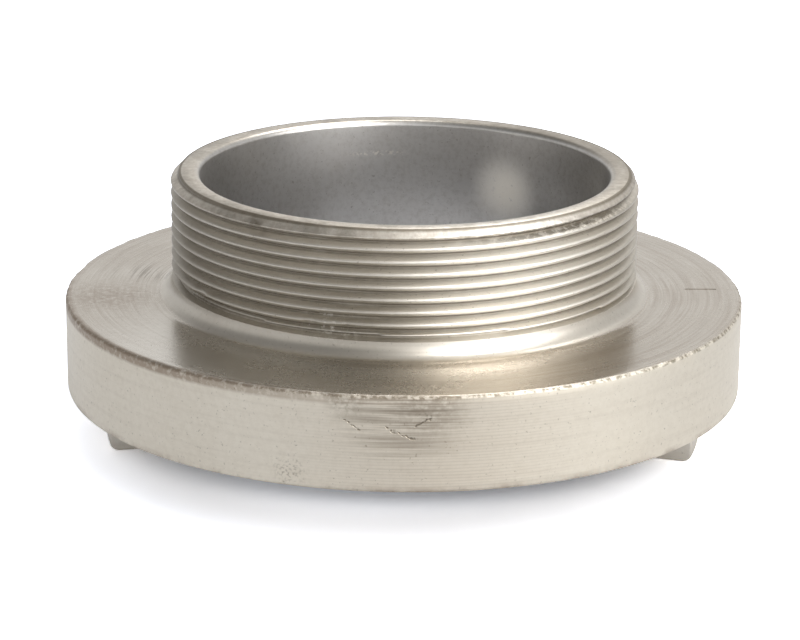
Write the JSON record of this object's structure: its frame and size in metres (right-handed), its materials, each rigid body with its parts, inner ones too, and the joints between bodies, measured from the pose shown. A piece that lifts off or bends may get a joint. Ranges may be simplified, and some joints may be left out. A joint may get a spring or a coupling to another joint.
{
  "type": "quarter turn fire hose coupling",
  "caption": "Fixed half of a two-lug quarter turn fire hose coupling: a turned aluminium body with a threaded collar, a lipped rim, hooked lugs and a rubber seal.",
  "frame": {"origin": "bottom centre, on the waterway's axis at the level of the two lugs' feet", "axes": "+Z along the waterway towards the threaded end, X through the two lugs"},
  "size_m": [0.128, 0.128, 0.0521],
  "materials": {
    "turned_aluminium": "cast and turned, dull, with machining marks",
    "seal_rubber": "matt black"
  },
  "bodies": {
    "root": {"coupling_body": "turned_aluminium", "sealing_ring": "seal_rubber"}
  },
  "joints": []
}
